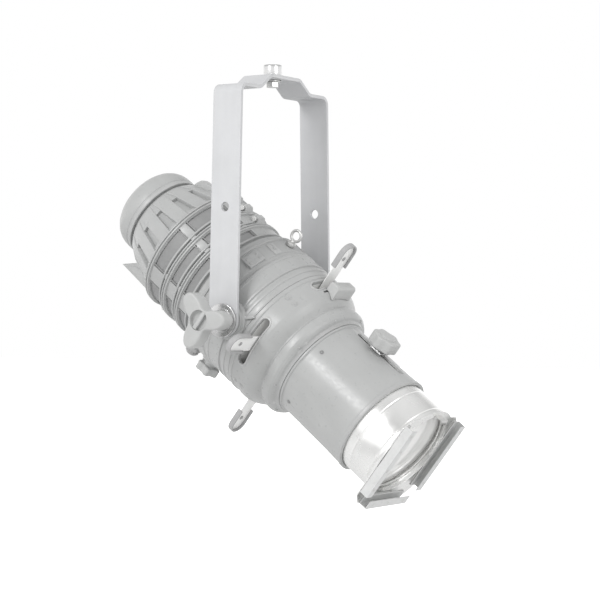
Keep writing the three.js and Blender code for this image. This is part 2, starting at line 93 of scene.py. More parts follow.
def local_coords(nt, space):
    """Head coordinates (x, u, s), or yoke coordinates, in metres, from the piece's own rest coordinates."""
    tc = node(nt, "ShaderNodeTexCoord")
    sub = node(nt, "ShaderNodeVectorMath", operation="SUBTRACT")
    nt.links.new(tc.outputs["Object"], sub.inputs[0])
    sub.inputs[1].default_value = (0, 0, PIVOT * MM)
    if space != "head":
        return sub.outputs[0], None
    comb = node(nt, "ShaderNodeCombineXYZ")
    axes = [(1, 0, 0), tuple(UP), tuple(BEAM)]
    for i, a in enumerate(axes):
        d = node(nt, "ShaderNodeVectorMath", operation="DOT_PRODUCT")
        nt.links.new(sub.outputs[0], d.inputs[0])
        d.inputs[1].default_value = a
        nt.links.new(d.outputs["Value"], comb.inputs[i])
    return comb.outputs[0], comb


def scaled(nt, vec, s):
    v = node(nt, "ShaderNodeVectorMath", operation="MULTIPLY")
    nt.links.new(vec, v.inputs[0])
    v.inputs[1].default_value = s
    return v.outputs[0]


def noise(nt, vec, scale, detail=3.0, rough=0.5):
    n = node(nt, "ShaderNodeTexNoise")
    n.inputs["Scale"].default_value = scale
    n.inputs["Detail"].default_value = detail
    n.inputs["Roughness"].default_value = rough
    nt.links.new(vec, n.inputs["Vector"])
    return n.outputs[0]


def ramp(nt, fac, stops):
    r = node(nt, "ShaderNodeValToRGB")
    e = r.color_ramp.elements
    while len(e) < len(stops):
        e.new(0.5)
    for el, (p, c) in zip(e, stops):
        el.position = p
        el.color = (c, c, c, 1) if not isinstance(c, (tuple, list)) else (*c, 1)
    nt.links.new(fac, r.inputs[0])
    return r.outputs[0]


def mix(nt, fac, a, b):
    m = node(nt, "ShaderNodeMix", data_type="RGBA")
    for sock, v in ((m.inputs[0], fac), (m.inputs[6], a), (m.inputs[7], b)):
        if isinstance(v, bpy.types.NodeSocket):
            nt.links.new(v, sock)
        elif isinstance(v, (tuple, list)):
            sock.default_value = (*v, 1)
        else:
            sock.default_value = v
    return m.outputs[2]


def spread(nt, fac, lo, hi):
    m = node(nt, "ShaderNodeMapRange")
    m.inputs["From Min"].default_value, m.inputs["From Max"].default_value = 0.3, 0.7
    m.inputs["To Min"].default_value, m.inputs["To Max"].default_value = lo, hi
    nt.links.new(fac, m.inputs["Value"])
    return m.outputs[0]


def bump(nt, b, *layers):
    """layers: (height socket, strength, distance in metres), the first one lowest."""
    last = None
    for h, strength, dist in layers:
        n = node(nt, "ShaderNodeBump")
        n.inputs["Strength"].default_value = strength
        n.inputs["Distance"].default_value = dist
        nt.links.new(h, n.inputs["Height"])
        if last is not None:
            nt.links.new(last, n.inputs["Normal"])
        last = n.outputs[0]
    nt.links.new(last, b.inputs["Normal"])


def painted(name, base, edge, hollow_shade, rough, grain=1400.0, grain_strength=0.25, space="head", metallic=0.0, streak=None):
    """Powder coat: fine orange peel, uneven tone, rubbed edges, and painted shade that darkens the hollows where
    pointiness is low.
    """
    m, nt, b = new_material(name)
    vec, _ = local_coords(nt, space)
    tone = noise(nt, vec, 14.0, 4.0, 0.6)
    fine = noise(nt, vec, grain, 2.0, 0.5)
    mid = noise(nt, vec, 160.0, 3.0, 0.6)
    col = mix(nt, spread(nt, tone, 0.0, 1.0), tuple(c * 0.94 for c in base), tuple(min(1, c * 1.05) for c in base))
    if streak:
        st = noise(nt, scaled(nt, vec, streak), 60.0, 4.0, 0.6)
        col = mix(nt, spread(nt, st, 0.0, 0.25), col, tuple(min(1, c * 1.18) for c in base))
    geo = node(nt, "ShaderNodeNewGeometry")
    worn = node(nt, "ShaderNodeMath", operation="MULTIPLY")
    nt.links.new(ramp(nt, geo.outputs["Pointiness"], [(0.53, 0.0), (0.63, 0.75)]), worn.inputs[0])
    nt.links.new(spread(nt, mid, 0.35, 1.0), worn.inputs[1])
    col = mix(nt, worn.outputs[0], col, edge)
    # painted shade: where pointiness is low, in the hollows, the colour is mixed towards a darker grey
    hollow_shade_mask = ramp(nt, geo.outputs["Pointiness"], [(0.36, 0.55), (0.46, 0.0)])
    col = mix(nt, hollow_shade_mask, col, hollow_shade)
    nt.links.new(col, b.inputs["Base Color"])
    nt.links.new(spread(nt, mid, rough - 0.07, rough + 0.09), b.inputs["Roughness"])
    b.inputs["Metallic"].default_value = metallic
    bump(nt, b, (fine, grain_strength, 0.00005))
    return m


def metal(name, base, rough, across=None, space="head", strength=0.12, spread_by=0.08, metallic=1.0):
    """Bare metal with fine tool or rolling lines across the given direction, smudges and small scratches."""
    m, nt, b = new_material(name)
    vec, _ = local_coords(nt, space)
    lines = noise(nt, scaled(nt, vec, across or (1, 1, 1)), 900.0 if across else 300.0, 3.0, 0.6)
    smudge = noise(nt, vec, 26.0, 4.0, 0.6)
    spots = noise(nt, vec, 420.0, 2.0, 0.5)
    col = mix(nt, spread(nt, smudge, 0.0, 1.0), tuple(c * 0.93 for c in base), base)
    nt.links.new(col, b.inputs["Base Color"])
    b.inputs["Metallic"].default_value = metallic
    r = node(nt, "ShaderNodeMath", operation="ADD")
    nt.links.new(spread(nt, smudge, rough - spread_by, rough + spread_by), r.inputs[0])
    nt.links.new(spread(nt, spots, 0.0, 0.05), r.inputs[1])
    nt.links.new(r.outputs[0], b.inputs["Roughness"])
    bump(nt, b, (lines, strength, 0.00012))
    return m


def moulded(name, base, rough, grain=2200.0, strength=0.12, space="head", light=1.12):
    m, nt, b = new_material(name)
    vec, _ = local_coords(nt, space)
    fine = noise(nt, vec, grain, 2.0, 0.6)
    tone = noise(nt, vec, 35.0, 3.0, 0.6)
    geo = node(nt, "ShaderNodeNewGeometry")
    col = mix(nt, spread(nt, tone, 0.0, 1.0), tuple(c * 0.93 for c in base), base)
    col = mix(nt, ramp(nt, geo.outputs["Pointiness"], [(0.53, 0.0), (0.62, 0.6)]), col, tuple(min(1, c * light * 1.1) for c in base))
    nt.links.new(col, b.inputs["Base Color"])
    nt.links.new(spread(nt, fine, rough - 0.06, rough + 0.06), b.inputs["Roughness"])
    bump(nt, b, (fine, strength, 0.00015))
    return m


def glassy(name, base, rough, transmission, ior=1.5, coat=0.0):
    m, nt, b = new_material(name)
    vec, _ = local_coords(nt, "head")
    smudge = noise(nt, vec, 30.0, 4.0, 0.6)
    col = mix(nt, spread(nt, smudge, 0.0, 1.0), tuple(c * 0.97 for c in base), base)
    nt.links.new(col, b.inputs["Base Color"])
    nt.links.new(spread(nt, smudge, rough, rough + 0.05), b.inputs["Roughness"])
    b.inputs["Transmission Weight"].default_value = transmission
    b.inputs["IOR"].default_value = ior
    b.inputs["Coat Weight"].default_value = coat
    return m


MAT = {
    "body_paint": painted("body_paint", (0.40, 0.405, 0.402), (0.60, 0.60, 0.60), (0.27, 0.27, 0.27), 0.32, grain_strength=0.12, streak=(1, 1, 0.08)),
    "yoke_paint": painted("yoke_paint", (0.54, 0.545, 0.555), (0.72, 0.72, 0.72), (0.44, 0.44, 0.44), 0.40, grain=1700.0, grain_strength=0.05, space="yoke", streak=(1, 1, 0.05)),
    "tube_aluminium": metal("tube_aluminium", (0.93, 0.93, 0.92), 0.24, across=(0.05, 0.05, 1.0), strength=0.08),
    "spigot_steel": metal("spigot_steel", (0.66, 0.66, 0.66), 0.25, across=(0.05, 0.05, 1.0), space="row"),
    "fixings_steel": metal("fixings_steel", (0.70, 0.70, 0.69), 0.32),
    # painted reflection: the shutter steel is mostly non-metallic near-white, standing in for the bright reflections on
    # the blades and handles
    "shutter_steel": metal("shutter_steel", (0.93, 0.93, 0.92), 0.36, across=(1.0, 0.06, 1.0), metallic=0.15),
    "grip_rubber": moulded("grip_rubber", (0.40, 0.40, 0.402), 0.62, grain=1500.0),
    "knob_plastic": moulded("knob_plastic", (0.47, 0.475, 0.47), 0.42),
    "cover_plastic": painted("cover_plastic", (0.46, 0.465, 0.46), (0.62, 0.62, 0.62), (0.3, 0.3, 0.3), 0.4),
    "reflector_mirror": metal("reflector_mirror", (0.93, 0.93, 0.94), 0.08, strength=0.05, spread_by=0.03),
    # painted reflection: the lens glass is near-white and mostly diffuse, standing in for the bright studio reflected
    # in the lenses
    "optic_glass": glassy("optic_glass", (0.99, 0.99, 0.975), 0.02, 0.18, coat=0.6),
    "socket_ceramic": moulded("socket_ceramic", (0.82, 0.80, 0.74), 0.6, grain=900.0),
}
# painted shade: a dark grey for the linings of the vent windows, where there is only shade; the barrel screw heads take
# it too
DARK = painted("painted_pocket_shade", (0.24, 0.242, 0.242), (0.42, 0.42, 0.42), (0.15, 0.15, 0.15), 0.55)
HOLDER = painted("holder_paint", (0.56, 0.565, 0.56), (0.85, 0.85, 0.85), (0.4, 0.4, 0.4), 0.34, grain=1800.0, grain_strength=0.05)


# ---------- mesh helpers ----------
def finish(name, bm, M, body, slot, replaces=(), mat=None, sharp=32, bevel=None, seg=2):
    me = bpy.data.meshes.new(name)
    bmesh.ops.remove_doubles(bm, verts=bm.verts, dist=1e-4)
    bmesh.ops.recalc_face_normals(bm, faces=bm.faces)
    bm.transform(M)
    bm.to_mesh(me)
    bm.free()
    o = bpy.data.objects.new(name, me)
    bpy.context.scene.collection.objects.link(o)
    me.materials.append(mat or MAT[slot])
    shade(me, sharp)
    if bevel:
        b = o.modifiers.new("edges", "BEVEL")
        b.width, b.segments, b.limit_method, b.angle_limit = bevel * MM, seg, "ANGLE", math.radians(30)
        b.harden_normals = True
        b.use_clamp_overlap = True
    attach(o, body)
    if replaces:
        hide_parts(*replaces)
    return o


def shade(me, sharp=32):
    me.shade_smooth()
    me.set_sharp_from_angle(angle=math.radians(sharp))


def fillet(profile, r=0.8, n=3, closed=True):
    """Rounds each corner of a profile of points; r is a number, and a point may carry its own as a third value."""
    out, m = [], len(profile)
    for i, p in enumerate(profile):
        rad = p[2] if len(p) > 2 else r
        if not closed and i in (0, m - 1) or rad <= 0:
            out.append((p[0], p[1]))
            continue
        a, b, c = Vector(profile[i - 1][:2]), Vector(p[:2]), Vector(profile[(i + 1) % m][:2])
        d1, d2 = a - b, c - b
        l1, l2 = d1.length, d2.length
        if l1 < 1e-6 or l2 < 1e-6:
            out.append(tuple(b))
            continue
        d1, d2 = d1 / l1, d2 / l2
        ang = math.acos(max(-1, min(1, d1.dot(d2))))
        if ang > math.radians(172) or ang < math.radians(4):
            out.append(tuple(b))
            continue
        t = min(rad / math.tan(ang / 2), 0.45 * l1, 0.45 * l2)
        rr = t * math.tan(ang / 2)
        cen = b + (d1 + d2).normalized() * (rr / math.sin(ang / 2))
        p1, p2 = b + d1 * t, b + d2 * t
        a1 = math.atan2(*(p1 - cen).yx)
        a2 = math.atan2(*(p2 - cen).yx)
        while a2 - a1 > math.pi:
            a2 -= 2 * math.pi
        while a2 - a1 < -math.pi:
            a2 += 2 * math.pi
        for k in range(n + 1):
            q = a1 + (a2 - a1) * k / n
            out.append((cen.x + rr * math.cos(q), cen.y + rr * math.sin(q)))
    return out


def lathe(bm, profile, seg=112, closed=True, axis="s", centre=(0, 0)):
    """Turns [(radius, along)] about the s, u or x axis into bm."""
    rings = []
    for r, s in profile:
        if r < 1e-5:
            c = {"s": (centre[0], centre[1], s), "u": (centre[0], s, centre[1]), "x": (s, centre[0], centre[1])}[axis]
            rings.append([bm.verts.new(c)])
            continue
        ring = []
        for k in range(seg):
            a = 2 * math.pi * k / seg
            p, q = r * math.sin(a), r * math.cos(a)
            c = {"s": (centre[0] + p, centre[1] + q, s), "u": (centre[0] + p, s, centre[1] + q), "x": (s, centre[0] + p, centre[1] + q)}[axis]
            ring.append(bm.verts.new(c))
        rings.append(ring)
    pairs = list(zip(rings, rings[1:]))
    if closed:
        pairs.append((rings[-1], rings[0]))
    for a, b in pairs:
        for k in range(seg):
            j = (k + 1) % seg
            vs = [a[k % len(a)], a[j % len(a)], b[j % len(b)], b[k % len(b)]]
            seen = []
            for v in vs:
                if v not in seen:
                    seen.append(v)
            if len(seen) > 2:
                bm.faces.new(seen)
    return bm


def prism(bm, outline, t0, t1, plane="xu", bev=0.7, segs=2, M=None, angle=28):
    """Pushes an outline along the third axis. plane names the outline's two axes; bevels its sharp edges."""
    part = bmesh.new()
    order = {"xu": lambda a, b, t: (a, b, t), "us": lambda a, b, t: (t, a, b), "su": lambda a, b, t: (t, b, a), "xs": lambda a, b, t: (a, t, b)}[plane]
    v0 = [part.verts.new(order(a, b, t0)) for a, b in outline]
    v1 = [part.verts.new(order(a, b, t1)) for a, b in outline]
    part.faces.new(v0)
    part.faces.new(list(reversed(v1)))
    n = len(outline)
    for i in range(n):
        part.faces.new([v0[i], v0[(i + 1) % n], v1[(i + 1) % n], v1[i]])
    bmesh.ops.recalc_face_normals(part, faces=part.faces)
    if bev:
        edges = [e for e in part.edges if len(e.link_faces) == 2 and e.calc_face_angle(0) > math.radians(angle)]
        bmesh.ops.bevel(part, geom=edges, offset=bev, segments=segs, profile=0.5, affect="EDGES", clamp_overlap=True)
    if M is not None:
        part.transform(M)
    return absorb(bm, part)


def absorb(bm, part):
    tmp = bpy.data.meshes.new("tmp")
    part.to_mesh(tmp)
    part.free()
    bm.from_mesh(tmp)
    bpy.data.meshes.remove(tmp)
    return bm


def box_in(bm, x0, x1, u0, u1, s0, s1, bev=0.6, segs=2, M=None):
    return prism(bm, [(x0, u0), (x1, u0), (x1, u1), (x0, u1)], s0, s1, "xu", bev, segs, M)


def screw(bm, pos, axis, r=3.2, h=2.0, slot=True, M=None, recess="cross"):
    """A pan head with a driven recess, standing h above pos along axis."""
    part = bmesh.new()
    lathe(part, fillet([(0, 0), (r, 0), (r, h * 0.45), (r * 0.62, h), (r * 0.34, h), (r * 0.3, h * 0.35), (0, h * 0.35)], 0.25, 2, closed=False), 20, False, "s")
    if slot:
        for q in (0, math.pi / 2):
            c = bmesh.new()
            prism(c, [(-r * 0.55, -r * 0.1), (r * 0.55, -r * 0.1), (r * 0.55, r * 0.1), (-r * 0.55, r * 0.1)], h * 0.86, h * 1.03, "xu", 0)
            c.transform(Matrix.Rotation(q + 0.4, 4, "Z"))
            absorb(part, c)
    z = Vector(axis).normalized()
    part.transform(Matrix.Translation(pos) @ z.to_track_quat("Z", "Y").to_matrix().to_4x4())
    if M is not None:
        part.transform(M)
    return absorb(bm, part)


def spin(deg):
    return Matrix.Rotation(math.radians(deg), 4, "Z")


def about(bm, deg):
    bm.transform(spin(deg))
    return bm


def carve(o, cutter_bm, M, op="DIFFERENCE"):
    """Applies one boolean to o; the cutter is given in the same axes as o was."""
    me = bpy.data.meshes.new("cutter")
    bmesh.ops.recalc_face_normals(cutter_bm, faces=cutter_bm.faces)
    cutter_bm.transform(M)
    cutter_bm.to_mesh(me)
    cutter_bm.free()
    c = bpy.data.objects.new("cutter", me)
    bpy.context.scene.collection.objects.link(c)
    mod = o.modifiers.new("cut", "BOOLEAN")
    mod.operation, mod.solver, mod.object = op, "EXACT", c
    bpy.context.view_layer.update()
    dg = bpy.context.evaluated_depsgraph_get()
    new = bpy.data.meshes.new_from_object(o.evaluated_get(dg))
    o.modifiers.remove(mod)
    old = o.data
    o.data = new
    new.name = old.name
    bpy.data.meshes.remove(old)
    bpy.data.objects.remove(c)
    bpy.data.meshes.remove(me)
    shade(o.data, 32)
    return o


def refine(name, mat=None, bevel=0.6, seg=2, sharp=35, new_name=None):
    """The node's own shape again, with its triangles merged and its edges rounded."""
    src = NODES[name]
    bm = bmesh.new()
    bm.from_mesh(src.data)
    bmesh.ops.remove_doubles(bm, verts=bm.verts, dist=2e-6)
    bmesh.ops.dissolve_limit(bm, angle_limit=math.radians(1.5), verts=bm.verts, edges=bm.edges)
    bm.transform(Matrix.Scale(1000, 4))
    body = BODY_OF[name]
    o = finish(new_name or "shaped_" + name, bm, ROW, body, SLOT_OF[name], [name], mat, sharp, bevel, seg)
    return o


def circle(r, n=32, cx=0.0, cy=0.0, a0=0.0, a1=360.0):
    full = abs(a1 - a0) > 359.9
    m = n if full else n + 1
    return [(cx + r * math.cos(math.radians(a0 + (a1 - a0) * k / n)), cy + r * math.sin(math.radians(a0 + (a1 - a0) * k / n))) for k in range(m)]


# =====================================================================
# hanger
# =====================================================================
bm = bmesh.new()
TOP = -18.0
lathe(bm, fillet([(6.4, TOP + 0.3), (14, TOP + 0.3), (14, -2.8, 0.3), (13.3, -2.4, 0.3), (13.3, -1.6, 0.3), (14, -1.2, 0.3), (13.0, 0), (0, 0, 0), (0, -6, 0), (6.4, -6)], 0.5, 3), 72, True, "s")
finish("spigot_turned", bm, ROW, "root", "spigot_steel", ["hanging_spigot"])
refine("spigot_bolt", bevel=0.5)
refine("spigot_washer", bevel=0.3)

# =====================================================================
# yoke
# =====================================================================
SPLAY = math.tan(math.radians(1.55))
Z_TOP, HALF = 345.5, 114.5


def leg_x(z):
    return HALF + (Z_TOP - z) * SPLAY


def strip(line, t):
    left, right_ = [], []
    for i, p in enumerate(line):
        a, b = Vector(line[max(0, i - 1)]), Vector(line[min(len(line) - 1, i + 1)])
        d = (b - a).normalized()
        left.append((p[0] - d.y * t / 2, p[1] + d.x * t / 2))
        right_.append((p[0] + d.y * t / 2, p[1] - d.x * t / 2))
    return left, right_


line = fillet([(-leg_x(-26), -26), (-HALF, Z_TOP, 12.5), (-66, Z_TOP, 14), (-38, Z_TOP + 20, 14), (38, Z_TOP + 20, 14), (66, Z_TOP, 14), (HALF, Z_TOP, 12.5), (leg_x(-26), -26)], 12, 10, closed=False)
dense = [line[0]]
for p in line[1:]:
    a = Vector(dense[-1])
    d = Vector(p) - a
    k = max(1, int(d.length / 18))
    for i in range(1, k + 1):
        dense.append(tuple(a + d * i / k))
left, right_ = strip(dense, 5.0)
bm = bmesh.new()
cols = []
ys = [-25, -12, 12, 25]
for y in ys:
    cols.append(([bm.verts.new((x, y, z)) for x, z in left], [bm.verts.new((x, y, z)) for x, z in right_]))
n = len(dense)
for c in range(len(ys) - 1):
    for side in (0, 1):
        for i in range(n - 1):
            bm.faces.new([cols[c][side][i], cols[c][side][i + 1], cols[c + 1][side][i + 1], cols[c + 1][side][i]])
for c in (0, len(ys) - 1):
    for i in range(n - 1):
        bm.faces.new([cols[c][0][i], cols[c][0][i + 1], cols[c][1][i + 1], cols[c][1][i]])
for i in (0, n - 1):
    for c in range(len(ys) - 1):
        bm.faces.new([cols[c][0][i], cols[c + 1][0][i], cols[c + 1][1][i], cols[c][1][i]])
yoke = finish("yoke_bent_strap", bm, YOKE, "yoke", "yoke_paint", ["yoke_strap"])
cut = bmesh.new()
for z, r in ((0, 6.8), (166, 7)):
    lathe(cut, [(0, -140), (r, -140), (r, 140), (0, 140)], 40, False, "x", (0, z))
for x, r in ((0, 6.6), (-92, 5), (92, 5)):
    lathe(cut, [(0, 335), (r, 335), (r, 380), (0, 380)], 36, False, "s", (x, 0))
# the rounded lower ends
for sg in (-1, 1):
    for side in (-1, 1):
        pts = [(side * 40, -40), (side * 40, 0)] + [(side * 25 * math.cos(math.radians(q)), -25 * math.sin(math.radians(q))) for q in range(0, 91, 6)] + [(0, -40)]
        prism(cut, pts, sg * 112, sg * 135, "us", 0)
carve(yoke, cut, YOKE)
bev = yoke.modifiers.new("edges", "BEVEL")
bev.width, bev.segments, bev.limit_method, bev.angle_limit, bev.harden_normals = 0.9 * MM, 3, "ANGLE", math.radians(35), True

# =====================================================================
# tilt knob: three lobes, a dished middle with a rib across it
# =====================================================================
LEG_OUT = leg_x(0) + 2.5
FACE = -(LEG_OUT + 60)


def lobe(a, grow=0.0):
    return 29.5 + 14 * math.cos(3 * a) + 1.5 * math.cos(6 * a) + grow


bm = bmesh.new()
pts = [(-lobe(a) * math.cos(a), lobe(a) * math.sin(a)) for a in (2 * math.pi * k / 108 for k in range(108))]
prism(bm, pts, FACE, FACE + 25, "us", 3.2, 5, angle=50)
knob = finish("tilt_knob_moulded", bm, YOKE, "tilt_lock", "knob_plastic", ["tilt_knob"])
cut = bmesh.new()
# a dish in the face
lathe(cut, fillet([(0, FACE - 2), (15.5, FACE - 2), (14.5, FACE + 7), (0, FACE + 7)], 1.5, 3, closed=False), 48, False, "x", (0, 0))
carve(knob, cut, YOKE)
bm = bmesh.new()
# rib across the dish, and the hub behind
prism(bm, [(-14.8, -3.2), (14.8, -3.2), (14.8, 3.2), (-14.8, 3.2)], FACE + 1.2, FACE + 8, "us", 1.0, 3, M=Matrix.Rotation(math.radians(-52), 4, "X"))
lathe(bm, fillet([(6.5, FACE + 20), (15.5, FACE + 20), (15.5, FACE + 27), (12.6, FACE + 31), (12.6, -(LEG_OUT + 12)), (14, -(LEG_OUT + 8)), (14, -(LEG_OUT + 5)), (6.5, -(LEG_OUT + 5))], 1.0, 3), 56, True, "x")
for k in range(12):
    a = 2 * math.pi * k / 12
    box_in(bm, -(LEG_OUT + 12) - 16, -(LEG_OUT + 8), -1.0, 1.0, 12.0, 13.6, 0.4, 2, M=Matrix.Rotation(a, 4, "X"))
finish("tilt_knob_hub", bm, YOKE, "tilt_lock", "knob_plastic")
bm = bmesh.new()
lathe(bm, fillet([(6.6, -(LEG_OUT + 4.2)), (25, -(LEG_OUT + 4.2)), (25, -(LEG_OUT + 1.2)), (6.6, -(LEG_OUT + 1.2))], 0.7, 3), 72, True, "x")
lathe(bm, fillet([(15, -(LEG_OUT + 4.7)), (18, -(LEG_OUT + 4.7)), (18, -(LEG_OUT + 4.0)), (15, -(LEG_OUT + 4.0))], 0.3, 2), 72, True, "x")
finish("tilt_washer_turned", bm, YOKE, "tilt_lock", "spigot_steel", ["tilt_knob_washer"])
refine("tilt_stud", bevel=0.3)

# =====================================================================
# rear cap
# =====================================================================
CAPB, CAPF = -311.0, -257.0
dome = [(0, CAPB), (15, CAPB + 0.4), (28, CAPB + 1.5), (39, CAPB + 3.9), (48.5, CAPB + 7.4), (56, CAPB + 11.8), (61.8, CAPB + 16.8), (66, CAPB + 22.6), (68.6, CAPB + 29), (69.8, CAPB + 35), (70, CAPB + 40)]
outer = dome + [(70, CAPF - 9), (69.4, CAPF - 8.4), (69.4, CAPF - 6.6), (70, CAPF - 6), (70, CAPF - 1), (69.2, CAPF)]
inner = [(64, CAPF), (64, -246), (60, -246), (60, CAPF - 3), (66, CAPF - 3), (66, CAPB + 34), (57, CAPB + 18), (25, CAPB + 5), (0, CAPB + 4)]
bm = bmesh.new()
lathe(bm, outer + inner, 120, False)
cap = finish("rear_cap_shell", bm, HEAD, "burner", "body_paint", ["rear_cap"], sharp=38)
cut = bmesh.new()
for k in range(20):  # slots round the back, for air
    c = bmesh.new()
    prism(c, [(-2.1, 38), (2.1, 38), (2.1, 53), (-2.1, 53)], CAPB - 4, CAPB + 26, "xu", 0)
    absorb(cut, about(c, k * 18 + 9))
carve(cap, cut, HEAD)
bm = bmesh.new()
for k in range(3):
    a = math.radians(90 + k * 120)
    screw(bm, (28 * math.cos(a), 28 * math.sin(a), CAPB + 1.8), (0, 0, -1), 4.2, 2.4)
lathe(bm, fillet([(0, CAPB - 1.5), (11, CAPB - 1.5), (11, CAPB + 1.2), (0, CAPB + 1.2)], 0.9, 3, closed=False), 48, False)
for k in range(24):
    c = bmesh.new()
    box_in(c, -0.5, 0.5, 10.4, 11.6, CAPB - 1.2, CAPB + 0.6, 0.2, 1)
    absorb(bm, about(c, k * 15))
finish("rear_cap_screws", bm, HEAD, "burner", "fixings_steel")
refine("lamp_socket", bevel=0.4)
bm = bmesh.new()
lathe(bm, fillet([(0, -281.5), (8.2, -281.5), (8.2, -262), (9.4, -257), (9.5, -200), (7.8, -192), (3.6, -187.5), (0, -186)], 2.0, 4, closed=False), 40, False)
finish("lamp_capsule", bm, HEAD, "burner", "optic_glass", ["lamp"])

# =====================================================================
# reflector, faceted in rings
# =====================================================================
A, B, C = 152.5, 83.7, -77.5
inn, out_ = [], []
for k in range(27):
    s = -227 + 143 * (k / 26) ** 1.4
    r = B * math.sqrt(max(0, 1 - ((s - C) / A) ** 2))
    inn.append((r, s))
    out_.append((r + 2, s - 1.2 if k == 0 else min(s, -86.2 - (26 - k) * 0.01)))
bm = bmesh.new()
lathe(bm, inn + [(94.4, -84), (94.4, -86)] + out_[::-1], 64, True)
finish("reflector_spun", bm, HEAD, "head", "reflector_mirror", ["reflector"], sharp=12)

# =====================================================================
# split reflector housing
# =====================================================================
BANDS = [(-176, -141), (-137, -110), (-106, -79)]
LUGS = [(c, sg) for sg in (1, -1) for c in (-166, -142.5, -114)]
prof = [(66.3, -253), (68.2, -253), (69.8, -251), (80.0, -230.5), (82.4, -225.5), (77.0, -224.6), (82.0, -208), (88.5, -187), (93.5, -186), (95.5, -179.5), (93.5, -178)]
for i, (a, b) in enumerate(BANDS):
    prof += [(98.5, a + 0.0), (104.6, a), (105, a + 2.2), (102.4, a + 2.8), (102.4, a + 4.0), (105, a + 4.6), (104.8, a + 7.0), (101.8, a + 7.6), (101.8, b - 3.2), (103.2, b - 2.6), (103.2, b - 0.6), (102.6, b), (97.5, b)]
    prof += [(97.5, BANDS[i + 1][0])] if i < 2 else [(97.5, -74)]
prof += [(95, -74), (95, -172), (88, -178), (80, -208), (65, -253)]
bm = bmesh.new()
lathe(bm, fillet(prof, 0.5, 2), 128, True)
shell = finish("housing_shell", bm, HEAD, "head", "body_paint")
cut = bmesh.new()
for a, b in BANDS:
    for mid, half in ((-85, 20), (-38, 20), (38, 20), (85, 20), (142, 21), (-142, 21)):
        w = circle(98.4, 12, 0, 0, 90 - mid - half, 90 - mid + half) + circle(112, 12, 0, 0, 90 - mid + half, 90 - mid - half)
        prism(cut, w, a + 8.6, b - 4.0, "xu", 0)
carve(shell, cut, HEAD)
bm = bmesh.new()
bm.from_mesh(shell.data)
bm.transform(HEAD.inverted())
NR = 16
for k in range(NR):  # broad ribs round the tapered back
    w = 11.2
    out_line = [(-250.5, 67), (-250.5, 70.8), (-231.5, 81.0), (-206, 89.6), (-188, 95.6), (-181, 98.6), (-176, 99.4), (-176, 90), (-210, 79.5), (-236, 72)]
    c = bmesh.new()
    prism(c, out_line, -w, w, "su", 1.3, 3)
    absorb(bm, about(c, 11.25 + k * 22.5))
for c_, sg in LUGS:
    prism(bm, [(c_ - 10, sg * 98), (c_ - 10, sg * 104), (c_ - 5, sg * 111), (c_ + 4, sg * 111), (c_ + 10, sg * 103), (c_ + 10, sg * 98)], -9, 9, "su", 1.0, 3)
prism(bm, [(-242, 74), (-238, 84), (-233, 92), (-214, 95), (-205, 95), (-198, 86)], -8, 8, "su", 1.2, 3)
prism(bm, [(-275, -103), (-253, -84), (-226, -76), (-204, -82), (-181, -88), (-181, -98), (-206, -105)], -11, 11, "su", 1.0, 3)
for sg in (-1, 1):
    prism(bm, [(-262, -98), (-252, -90), (-230, -86), (-212, -92), (-210, -99), (-230, -101)], sg * 10.4, sg * 11.8, "su", 0.5, 2)
# short webs between the bands
for i in range(2):
    for deg in (20, 62, 105, 150, -20, -62, -105, -150):
        c = bmesh.new()
        box_in(c, -4.5, 4.5, 96, 101.5, BANDS[i][1] - 1, BANDS[i + 1][0] + 1, 0.6, 2)
        absorb(bm, about(c, deg))
full = bpy.data.meshes.new("full")
bm.to_mesh(full)
bm.free()
bpy.data.objects.remove(shell)
for side, nm in ((-1, "near"), (1, "far")):
    h = bmesh.new()
    h.from_mesh(full)
    geom = h.verts[:] + h.edges[:] + h.faces[:]
    r_ = bmesh.ops.bisect_plane(h, geom=geom, dist=1e-5, plane_co=(side * 0.15, 0, 0), plane_no=(-side, 0, 0), clear_outer=True)
    rim = [e for e in r_["geom_cut"] if isinstance(e, bmesh.types.BMEdge)]
    try:
        bmesh.ops.edgeloop_fill(h, edges=rim)
    except Exception:
        pass
    finish(f"housing_half_{nm}", h, HEAD, "head", "body_paint", [f"housing_{nm}"], sharp=32)
# painted shade: dark linings set inside the vent windows stand in for the shade in the pockets
bm = bmesh.new()
for a, b in BANDS:
    for mid, half in ((-85, 19), (-38, 19), (38, 19), (85, 19), (142, 20), (-142, 20)):
        w = circle(98.3, 12, 0, 0, 90 - mid - half, 90 - mid + half) + circle(99.2, 12, 0, 0, 90 - mid + half, 90 - mid - half)
        prism(bm, w, a + 9.2, b - 4.6, "xu", 0.2, 1)
        for q in (-0.97, 0.97):  # a thin frame at each end of the window
            c = bmesh.new()
            box_in(c, -0.8, 0.8, 98.6, 102.2, a + 8.8, b - 4.2, 0.3, 2)
            absorb(bm, about(c, -(mid + q * half)))
finish("housing_vent_shade_linings", bm, HEAD, "head", "body_paint", mat=DARK)
for i in range(1, 7):
    refine(f"seam_screw_{i}", bevel=0.4)

# =====================================================================
# pivot housing
# =====================================================================
prof = [(97.5, -73.7), (105, -72), (105, -64.5), (108.6, -63.5), (110, -62), (110, -58.2), (108, -57.6), (108, -55.4), (108.5, -55), (108.5, -30), (107.6, -29.5), (107.6, -24), (108.4, -23.4), (110, -21.5), (110, -17.5),
        (109.2, -17), (109.2, 2), (110, 2.6), (110, 6.6), (108, 7.4), (108, 13), (110, 13.8), (110, 18.4), (108.8, 19.2), (108.8, 27), (109.6, 29.5), (104, 29.5), (104, -64), (95, -73.7)]
bm = bmesh.new()
lathe(bm, fillet(prof, 0.45, 2), 128, True)
piv = finish("pivot_housing_cast", bm, HEAD, "head", "body_paint", ["pivot_housing"])
cut = bmesh.new()
for sg in (-1, 1):
    lathe(cut, [(0, sg * 90), (6.8, sg * 90), (6.8, sg * 130), (0, sg * 130)], 32, False, "x")
lathe(cut, [(0, -125), (4.4, -125), (4.4, -100), (0, -100)], 24, False, "u", (0, -48))
carve(piv, cut, HEAD)
bm = bmesh.new()
